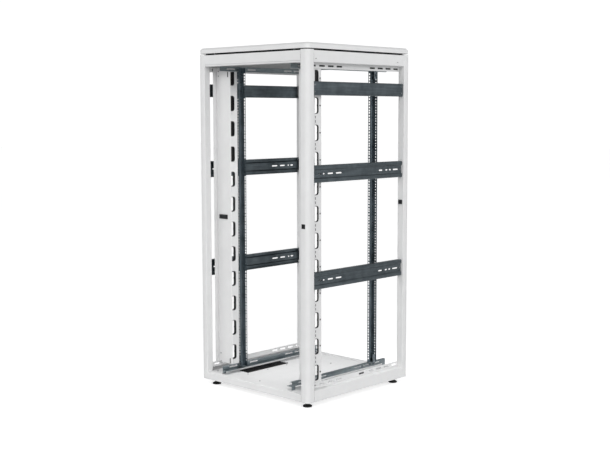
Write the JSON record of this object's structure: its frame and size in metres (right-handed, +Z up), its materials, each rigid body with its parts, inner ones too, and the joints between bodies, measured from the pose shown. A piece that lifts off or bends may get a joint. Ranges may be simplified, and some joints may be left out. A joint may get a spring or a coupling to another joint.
{
  "type": "network server rack",
  "caption": "Open steel network rack frame with rounded posts, raised roof cover, sliding mounting rails, slotted side bars, windowed cable ducts, brushed cable entry and levelling feet.",
  "frame": {"origin": "middle of the footprint, on the floor under the four levelling feet", "axes": "+Z up, -Y out of the front of the rack, +X to the right as seen from the front"},
  "size_m": [0.8, 0.8, 1.82],
  "materials": {
    "paint": "light grey fine-textured powder coat",
    "zinc": "zinc plated sheet steel, bluish grey",
    "black_plastic": "black moulded plastic",
    "rubber": "black foot pad",
    "bristle": "black nylon bristle strip"
  },
  "bodies": {
    "frame": {"post_front_left": "paint", "post_front_right": "paint", "post_rear_right": "paint", "post_rear_left": "paint", "top_beam_front": "paint", "top_beam_rear": "paint", "top_beam_right": "paint", "top_beam_left": "paint", "bottom_beam_front": "paint", "bottom_beam_rear": "paint", "bottom_beam_right": "paint", "bottom_beam_left": "paint", "roof_cover": "paint", "roof_spacer_front_left": "zinc", "roof_spacer_front_right": "zinc", "roof_spacer_rear_right": "zinc", "roof_spacer_rear_left": "zinc", "depth_rail_bottom_left": "zinc", "depth_rail_top_left": "zinc", "depth_rail_bottom_right": "zinc", "depth_rail_top_right": "zinc", "side_bar_upper_left": "zinc", "side_bar_middle_left": "zinc", "side_bar_lower_left": "zinc", "side_bar_upper_right": "zinc", "side_bar_middle_right": "zinc", "side_bar_lower_right": "zinc", "cable_duct_left": "paint", "cable_duct_right": "paint", "lock_plate_left_duct": "black_plastic", "lock_plate_front_post": "black_plastic", "lock_plate_rear_post": "black_plastic", "floor_panel_main": "paint", "floor_panel_rear": "paint", "cable_entry_plate": "paint", "entry_brush": "bristle", "corner_plate_front_left": "zinc", "corner_plate_front_right": "zinc", "corner_plate_rear_right": "zinc", "corner_plate_rear_left": "zinc"},
    "rail_front_left": {"mounting_rail_front_left": "zinc", "rail_clamp_front_left_bottom": "zinc", "rail_clamp_front_left_top": "zinc"},
    "rail_front_right": {"mounting_rail_front_right": "zinc", "rail_clamp_front_right_bottom": "zinc", "rail_clamp_front_right_top": "zinc"},
    "rail_rear_left": {"mounting_rail_rear_left": "zinc", "rail_clamp_rear_left_bottom": "zinc", "rail_clamp_rear_left_top": "zinc"},
    "rail_rear_right": {"mounting_rail_rear_right": "zinc", "rail_clamp_rear_right_bottom": "zinc", "rail_clamp_rear_right_top": "zinc"},
    "foot_front_left": {"foot_pad_front_left": "rubber"},
    "stud_front_left": {"foot_stud_front_left": "zinc"},
    "foot_front_right": {"foot_pad_front_right": "rubber"},
    "stud_front_right": {"foot_stud_front_right": "zinc"},
    "foot_rear_right": {"foot_pad_rear_right": "rubber"},
    "stud_rear_right": {"foot_stud_rear_right": "zinc"},
    "foot_rear_left": {"foot_pad_rear_left": "rubber"},
    "stud_rear_left": {"foot_stud_rear_left": "zinc"}
  },
  "joints": [
    {"name": "rail_front_left_slide", "type": "slide", "parent": "frame", "child": "rail_front_left", "axis": [0, 1, 0], "range_m": [0, 0.2]},
    {"name": "rail_front_right_slide", "type": "slide", "parent": "frame", "child": "rail_front_right", "axis": [0, 1, 0], "range_m": [0, 0.2]},
    {"name": "rail_rear_left_slide", "type": "slide", "parent": "frame", "child": "rail_rear_left", "axis": [0, 1, 0], "range_m": [-0.2, 0.06]},
    {"name": "rail_rear_right_slide", "type": "slide", "parent": "frame", "child": "rail_rear_right", "axis": [0, 1, 0], "range_m": [-0.2, 0.06]},
    {"name": "foot_front_left_height", "type": "slide", "parent": "frame", "child": "foot_front_left", "axis": [0, 0, -1], "range_m": [0, 0.02]},
    {"name": "stud_front_left_turn", "type": "hinge", "parent": "foot_front_left", "child": "stud_front_left", "pos_m": [-0.342, -0.342, 0.03], "axis": [0, 0, -1], "range_deg": [0, 4115]},
    {"name": "foot_front_right_height", "type": "slide", "parent": "frame", "child": "foot_front_right", "axis": [0, 0, -1], "range_m": [0, 0.02]},
    {"name": "stud_front_right_turn", "type": "hinge", "parent": "foot_front_right", "child": "stud_front_right", "pos_m": [0.342, -0.342, 0.03], "axis": [0, 0, -1], "range_deg": [0, 4115]},
    {"name": "foot_rear_right_height", "type": "slide", "parent": "frame", "child": "foot_rear_right", "axis": [0, 0, -1], "range_m": [0, 0.02]},
    {"name": "stud_rear_right_turn", "type": "hinge", "parent": "foot_rear_right", "child": "stud_rear_right", "pos_m": [0.342, 0.342, 0.03], "axis": [0, 0, -1], "range_deg": [0, 4115]},
    {"name": "foot_rear_left_height", "type": "slide", "parent": "frame", "child": "foot_rear_left", "axis": [0, 0, -1], "range_m": [0, 0.02]},
    {"name": "stud_rear_left_turn", "type": "hinge", "parent": "foot_rear_left", "child": "stud_rear_left", "pos_m": [-0.342, 0.342, 0.03], "axis": [0, 0, -1], "range_deg": [0, 4115]}
  ],
  "couplings": [
    {"joint": "stud_front_left_turn", "follows": "foot_front_left_height", "rad_per_m": 3590.4},
    {"joint": "stud_front_right_turn", "follows": "foot_front_right_height", "rad_per_m": 3590.4},
    {"joint": "stud_rear_right_turn", "follows": "foot_rear_right_height", "rad_per_m": 3590.4},
    {"joint": "stud_rear_left_turn", "follows": "foot_rear_left_height", "rad_per_m": 3590.4}
  ]
}
